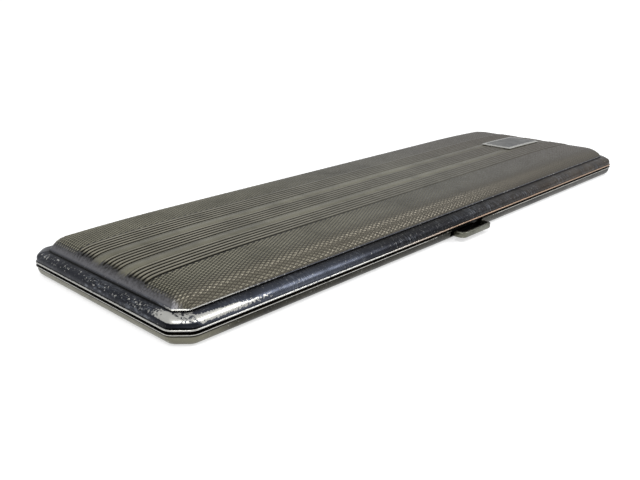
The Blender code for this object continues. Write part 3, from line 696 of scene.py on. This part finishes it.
def plate_finish(name, ground, tints, second, bright="b9b8b2", scratch="7d828a", rough=0.2, copper=False):
    """Silver plate that was polished and then tarnished. Tints are (axis, from, to, colour) in millimetres:
    the sulphide film changes its tint along and round the case, and on the lid and the base some tints are
    painted light and painted shade. Cloudy patches, hair scratches and specks glint through it, marked edges
    and corners are painted bright with ragged borders, as rubbed silver and as painted highlights, and
    painted shade is black."""
    material, tree, shader, place = new_finish(name)
    axes = add(tree, "ShaderNodeSeparateXYZ", links={0: place}).outputs
    wear_and_light = add(tree, "ShaderNodeAttribute", attribute_name="wear_and_light").outputs["Fac"]
    films = []
    for axis, start, end, colour in tints:
        film = add(tree, "ShaderNodeMapRange", {1: start * MM, 2: end * MM}, {0: axes[axis]})
        films.append((film.outputs[0], colour))
    clouds = add(
        tree, "ShaderNodeTexNoise", {"Scale": 1 / (9 * MM), "Detail": 5, "Roughness": 0.6}, {0: place}
    )
    patchy = add(tree, "ShaderNodeMapRange", {1: 0.45, 2: 0.7, 4: 0.6}, {0: clouds.outputs[0]})
    films.append((patchy.outputs[0], "16181d"))
    plain = add(tree, "ShaderNodeAttribute", attribute_name="ground").outputs["Fac"]
    films.append((plain, second))
    # Hair scratches 0.05 mm wide, drawn some five times as coarse to show at all, in clusters
    clusters = add(tree, "ShaderNodeTexNoise", {"Scale": 1 / (14 * MM), "Detail": 2}, {0: place})
    clustered = add(tree, "ShaderNodeMapRange", {1: 0.42, 2: 0.65, 4: 0.5}, {0: clusters.outputs[0]})
    for angle in (10, -22):
        lie = {"Rotation": (0, 0, math.radians(angle)), "Scale": (9, 1, 1)}
        turned = add(tree, "ShaderNodeMapping", lie, {0: place}).outputs[0]
        hairs = add(tree, "ShaderNodeTexNoise", {"Scale": 1 / (3 * MM), "Detail": 2}, {0: turned})
        thin = add(tree, "ShaderNodeMapRange", {1: 0.55, 2: 0.72}, {0: hairs.outputs[0]})
        both = {0: thin.outputs[0], 1: clustered.outputs[0]}
        seen = add(tree, "ShaderNodeMath", links=both, operation="MULTIPLY")
        films.append((seen.outputs[0], scratch))
    # Specks of 0.1 mm, drawn at 0.4 mm, where the film has chipped
    specks = add(tree, "ShaderNodeTexNoise", {"Scale": 1 / (0.7 * MM), "Detail": 3}, {0: place})
    glint = add(tree, "ShaderNodeMapRange", {1: 0.62, 2: 0.75, 4: 0.35}, {0: specks.outputs[0]})
    films.append((glint.outputs[0], bright))
    # Rubbed silver and painted highlights are uneven, so bright edges come and go every few centimetres and
    # break up into specks
    patchiness = add(tree, "ShaderNodeTexNoise", {"Scale": 1 / (30 * MM), "Detail": 3}, {0: place})
    uneven = add(tree, "ShaderNodeMapRange", {1: 0.35, 2: 0.6, 3: 0.6}, {0: patchiness.outputs[0]})
    worn = add(tree, "ShaderNodeMath", links={0: wear_and_light, 1: uneven.outputs[0]}, operation="MULTIPLY")
    broken_up = {0: specks.outputs[0], 2: worn.outputs[0]}
    ragged = add(tree, "ShaderNodeMath", {1: 2.0}, broken_up, operation="MULTIPLY_ADD")
    edges = add(tree, "ShaderNodeMapRange", {1: 1.42, 2: 1.66, 4: 0.97}, {0: ragged.outputs[0]})
    films.append((edges.outputs[0], bright))
    # Painted shade: black where the marks fall below zero, in seams, under steps, at feet and in hollows
    painted_shade = add(tree, "ShaderNodeMapRange", {1: -0.15, 2: -0.8, 4: 0.95}, {0: wear_and_light})
    films.append((painted_shade.outputs[0], "0a0908"))
    if copper:
        # The silver has worn off the rolled rim where the thumb lifts the lid: the copper shows as a line
        front = (case_y - half_width) * MM
        on_bead = {1: (lid_rim + 0.9) * MM, 2: (lid_rim + 0.7) * MM}
        rubbed = [
            add(tree, "ShaderNodeMapRange", {1: -50 * MM, 2: 0, 4: 0.85}, {0: axes["X"]}),
            add(tree, "ShaderNodeMapRange", {1: front + 1.2 * MM, 2: front + 0.8 * MM}, {0: axes["Y"]}),
            add(tree, "ShaderNodeMapRange", {1: 0.1, 2: 0.6}, {0: wear_and_light}),
            add(tree, "ShaderNodeMapRange", on_bead, {0: axes["Z"]}),
        ]
        share = rubbed[0].outputs[0]
        for mask in rubbed[1:]:
            both = add(tree, "ShaderNodeMath", links={0: share, 1: mask.outputs[0]}, operation="MULTIPLY")
            share = both.outputs[0]
        films.append((share, "a98a70"))
    coated(tree, shader, ground, films)
    shader.inputs["Metallic"].default_value = 1
    levels = {1: 0.3, 2: 0.7, 3: rough, 4: rough + 0.14}
    dull = add(tree, "ShaderNodeMapRange", levels, {0: clouds.outputs[0]})
    tree.links.new(dull.outputs[0], shader.inputs["Roughness"])
    relief = {"Strength": 0.4, "Distance": 0.05 * MM}
    fine = add(tree, "ShaderNodeBump", relief, {"Height": specks.outputs[0]})
    tree.links.new(fine.outputs[0], shader.inputs["Normal"])
    return material


def turned_finish(name, cut, crest, band, low, high):
    """Engine-turned silver plate under an even, olive film: the cuts hold it and the crests are rubbed.
    The cutting ends in a smudged, bluish margin. Along the front shoulder, and more so towards the right,
    the film evens the crests and the cuts out."""
    material, tree, shader, place = new_finish(name)
    axes = add(tree, "ShaderNodeSeparateXYZ", links={0: place}).outputs
    height = add(tree, "ShaderNodeAttribute", attribute_name="crest").outputs["Fac"]
    crests = add(tree, "ShaderNodeMapRange", {1: low, 2: high}, {0: height})
    plain = add(tree, "ShaderNodeMapRange", {1: -0.2, 2: -0.8}, {0: height})
    clouds = add(
        tree, "ShaderNodeTexNoise", {"Scale": 1 / (14 * MM), "Detail": 6, "Roughness": 0.65}, {0: place}
    )
    stained = add(tree, "ShaderNodeMapRange", {1: 0.42, 2: 0.72, 4: 0.5}, {0: clouds.outputs[0]})
    browned = add(tree, "ShaderNodeMapRange", {1: 20 * MM, 2: 125 * MM, 4: 0.85}, {0: axes["X"]})
    filmed = add(tree, "ShaderNodeMapRange", {1: -95 * MM, 2: 20 * MM, 4: 0.85}, {0: axes["X"]})
    front = (case_y - panel_half_width) * MM
    forward = add(tree, "ShaderNodeMapRange", {1: front + 8.5 * MM, 2: front + 2.5 * MM}, {0: axes["Y"]})
    later = add(tree, "ShaderNodeMapRange", {1: -90 * MM, 2: -10 * MM, 3: 0.7, 4: 0.9}, {0: axes["X"]})
    both = {0: forward.outputs[0], 1: later.outputs[0]}
    even = add(tree, "ShaderNodeMath", links=both, operation="MULTIPLY")
    grain = add(tree, "ShaderNodeTexNoise", {"Scale": 1 / (0.8 * MM), "Detail": 3}, {0: place})
    ground = add(tree, "ShaderNodeAttribute", attribute_name="ground").outputs["Fac"]
    ragged = add(tree, "ShaderNodeMath", links={0: grain.outputs[0], 1: ground}, operation="ADD")
    margin = add(tree, "ShaderNodeMapRange", {1: 0.75, 2: 1.4, 4: 0.95}, {0: ragged.outputs[0]})
    films = [
        (crests.outputs[0], crest),
        (filmed.outputs[0], "67645a"),
        (plain.outputs[0], band),
        (stained.outputs[0], "37352c"),
        (browned.outputs[0], "4a4238"),
        (even.outputs[0], "56524a"),
        (margin.outputs[0], "6f6e71"),
    ]
    coated(tree, shader, cut, films)
    shader.inputs["Metallic"].default_value = 1
    dull = add(tree, "ShaderNodeMapRange", {1: 0.3, 2: 0.7, 3: 0.34, 4: 0.5}, {0: grain.outputs[0]})
    tree.links.new(dull.outputs[0], shader.inputs["Roughness"])
    relief = {"Strength": 0.25, "Distance": 0.03 * MM}
    fine = add(tree, "ShaderNodeBump", relief, {"Height": grain.outputs[0]})
    tree.links.new(fine.outputs[0], shader.inputs["Normal"])
    return material


def rolled_finish(name, light, dark, rough):
    """Rolled sheet: faint lengthwise lines from the rolls, soft stains, and painted shade behind the notch,
    where the recess lies in shadow.
    """
    material, tree, shader, place = new_finish(name)
    stretched = add(tree, "ShaderNodeMapping", {"Scale": (0.04, 1, 1)}, {0: place}).outputs[0]
    lines = add(tree, "ShaderNodeTexNoise", {"Scale": 1 / (0.3 * MM), "Detail": 2}, {0: stretched})
    stains = add(tree, "ShaderNodeTexNoise", {"Scale": 1 / (8 * MM), "Detail": 4}, {0: place})
    axes = add(tree, "ShaderNodeSeparateXYZ", links={0: place}).outputs
    # Painted shade behind the notch: near the middle and near the front
    aside = add(tree, "ShaderNodeMath", links={0: axes["X"]}, operation="ABSOLUTE")
    near = add(tree, "ShaderNodeMapRange", {1: 16 * MM, 2: 11 * MM}, {0: aside.outputs[0]})
    front = (case_y - half_width) * MM
    forward = add(tree, "ShaderNodeMapRange", {1: front + 7 * MM, 2: front + 3 * MM}, {0: axes["Y"]})
    both = {0: near.outputs[0], 1: forward.outputs[0]}
    painted_recess_shade = add(tree, "ShaderNodeMath", links=both, operation="MULTIPLY")
    streaks = add(tree, "ShaderNodeMapRange", {1: 0.4, 2: 0.65, 4: 0.6}, {0: lines.outputs[0]})
    patches = add(tree, "ShaderNodeMapRange", {1: 0.45, 2: 0.7}, {0: stains.outputs[0]})
    films = [(streaks.outputs[0], dark), (patches.outputs[0], dark), (painted_recess_shade.outputs[0], "0c0a07")]
    coated(tree, shader, light, films)
    shader.inputs["Metallic"].default_value = 1
    levels = {1: 0.3, 2: 0.7, 3: rough, 4: rough + 0.12}
    dull = add(tree, "ShaderNodeMapRange", levels, {0: stains.outputs[0]})
    tree.links.new(dull.outputs[0], shader.inputs["Roughness"])
    relief = {"Strength": 0.2, "Distance": 0.02 * MM}
    fine = add(tree, "ShaderNodeBump", relief, {"Height": lines.outputs[0]})
    tree.links.new(fine.outputs[0], shader.inputs["Normal"])
    return material


def woven_finish(name, light, dark):
    """Woven rayon over rubber: fine slanting face threads with a soft sheen, matt and dark between them."""
    material, tree, shader, place = new_finish(name)
    # Threads of 0.25 mm, drawn at 0.6 mm
    threads = []
    for angle in (35, -35):
        turned = add(tree, "ShaderNodeMapping", {"Rotation": (0, 0, math.radians(angle))}, {0: place})
        wave = add(tree, "ShaderNodeTexWave", {"Scale": 1 / (0.6 * MM * math.tau)}, {0: turned.outputs[0]})
        threads.append(wave.outputs["Fac"])
    both = {0: threads[0], 1: threads[1]}
    crossed = add(tree, "ShaderNodeMath", links=both, operation="MULTIPLY").outputs[0]
    faded = add(tree, "ShaderNodeTexNoise", {"Scale": 1 / (12 * MM), "Detail": 3}, {0: place})
    patches = add(tree, "ShaderNodeMapRange", {1: 0.4, 2: 0.7, 4: 0.5}, {0: faded.outputs[0]})
    coated(tree, shader, dark, [(crossed, light), (patches.outputs[0], "8a6a38")])
    shader.inputs["Roughness"].default_value = 0.85
    shader.inputs["Sheen Weight"].default_value = 0.3
    fine = add(tree, "ShaderNodeBump", {"Strength": 0.5, "Distance": 0.1 * MM}, {"Height": crossed})
    tree.links.new(fine.outputs[0], shader.inputs["Normal"])
    return material


# Silver plate on the lid: blue-black film. It is painted paler along the front's left half, painted light
# where the key lamp shines, and painted darker to the right of that, painted shade; brown towards the right
lid_silver = plate_finish(
    "tarnished silver plate, lid",
    "26282f",
    [("Y", -34, -38, "484c56"), ("X", -72, -42, "1c1c1f"), ("X", 0, 90, "40382f")],
    second="595a5f",
    rough=0.32,
    copper=True,
)
# The base is greener: nearly black along the front, painted shade, and paler at its left end, painted light
base_silver = plate_finish(
    "tarnished silver plate, base",
    "3f3e35",
    [("Y", -36, -39, "1c1a15")],
    second="727063",
    scratch="4c4b42",
    rough=0.3,
)
small_silver = plate_finish(
    "silver plate, small parts", "66665b", [("X", 60, 90, "36342a")], second="66665b", rough=0.24
)
reeded_silver = turned_finish("engine-turned silver plate, reeds", "110f0b", "a09b89", "7f7c6c", 0.6, 1.0)
hatched_silver = turned_finish(
    "engine-turned silver plate, hatching", "13120e", "9a9683", "9a9683", 0.14, 0.5
)
gilt = rolled_finish("gilt brass sheet", "b08a48", "7d5f2c", 0.28)
steel = rolled_finish("hardened spring steel", "6f7479", "44474b", 0.3)
elastic = woven_finish("woven elastic", "c09a5a", "5e4420")

piece("lid_sheet", lid_sheet(), "lid", lid_silver, ["lid_shell"])
piece("base_sheet", base_sheet(), "base", base_silver, ["base_shell"])
piece("reeding", reeding(), "lid", reeded_silver, sharp=50)
for side, name in ((-1, "front"), (1, "back")):
    piece(f"hatched_field_{name}", diamond_field(side), "lid", hatched_silver, sharp=5)
piece("initials_plate", plate(), "lid", small_silver, ["cartouche"])
ribbon = piece("strap_ribbon", strap(), "base", elastic, ["elastic_strap"], in_place=True)

thumb_low, thumb_high = ([value / MM for value in corner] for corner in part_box("thumb_piece"))
# Painted shade fills the thumb piece's hollow, inside this box
hollow = (
    (thumb_low[0] + 1, thumb_low[1] + 1, thumb_low[2] - 1),
    (thumb_high[0] - 1, half_width, thumb_high[2] - 0.5),
)
eased_copy("thumb_piece", "catch", small_silver, painted_shade_box=hollow)
for number in range(1, 6):
    eased_copy(f"base_knuckle_{number}", "base", small_silver)
for number in range(1, 5):
    eased_copy(f"lid_knuckle_{number}", "lid", small_silver)
for node in ("hinge_pin", "spring_rivet_left", "spring_rivet_right"):
    eased_copy(node, "base", steel)
eased_copy("base_bezel", "base", gilt)
for side in (-1, 1):
    spring_half(side, steel)
for names, material in (
    (("base_hinge_wing", "lid_hinge_wing", "catch_keeper", "strap_clip_left", "strap_clip_right"), gilt),
    (("catch_hook",), steel),
):
    for name in names:
        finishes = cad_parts[name].data.materials
        finishes.clear()
        finishes.append(material)

# The studio: a white floor that keeps the shadow, a soft room and two soft lamps
bpy.ops.mesh.primitive_plane_add(size=40, location=(0, 0, 0))
floor = bpy.context.object
floor.name = "floor"
paper, tree, shader, place = new_finish("white paper floor")
shader.inputs["Base Color"].default_value = linear("bcbcbc")
shader.inputs["Roughness"].default_value = 0.9
shader.inputs["Emission Color"].default_value = (1, 1, 1, 1)
rays = add(tree, "ShaderNodeLightPath").outputs
seen = rays["Is Camera Ray"]
for kind in ("Is Glossy Ray", "Is Transmission Ray"):
    seen = add(tree, "ShaderNodeMath", links={0: seen, 1: rays[kind]}, operation="MAXIMUM").outputs[0]
glow = add(tree, "ShaderNodeMath", {1: 0.6}, {0: seen}, operation="MULTIPLY").outputs[0]
tree.links.new(glow, shader.inputs["Emission Strength"])
floor.data.materials.append(paper)

world = bpy.data.worlds.new("studio")
bpy.context.scene.world = world
world.use_nodes = True
room = world.node_tree
direction = add(room, "ShaderNodeTexCoord").outputs["Generated"]
height = add(room, "ShaderNodeSeparateXYZ", links={0: direction}).outputs["Z"]
level = add(room, "ShaderNodeMapRange", {1: 0.0, 2: 0.9, 3: 0.7, 4: 0.95}, {0: height})
room.links.new(level.outputs[0], room.nodes["Background"].inputs["Strength"])
room.nodes["Background"].inputs["Color"].default_value = (0.97, 0.98, 1, 1)


def lamp(name, spot, target, size, power):
    light = bpy.data.lights.new(name, "AREA")
    light.shape = "RECTANGLE"
    light.size, light.size_y = size
    light.energy = power
    made = bpy.data.objects.new(name, light)
    bpy.context.collection.objects.link(made)
    made.location = spot
    made.rotation_euler = (Vector(target) - Vector(spot)).to_track_quat("-Z", "Y").to_euler()


lamp("key lamp", (0.34, -0.36, 0.46), (-0.1, -0.04, 0), (0.22, 0.3), 1.8)
lamp("top lamp", (-0.37, -0.2, 0.6), (-0.12, -0.04, 0), (0.2, 0.2), 1.6)

bpy.context.scene.view_settings.view_transform = "Standard"
lens = bpy.data.cameras.new("camera")
lens.lens = 41.457
lens.sensor_width = 36
camera = bpy.data.objects.new("camera", lens)
bpy.context.collection.objects.link(camera)
camera.location = (-0.22127, -0.17572, 0.08731)
camera.rotation_euler = [math.radians(angle) for angle in (70.663, 0, -46.259)]
bpy.context.scene.camera = camera
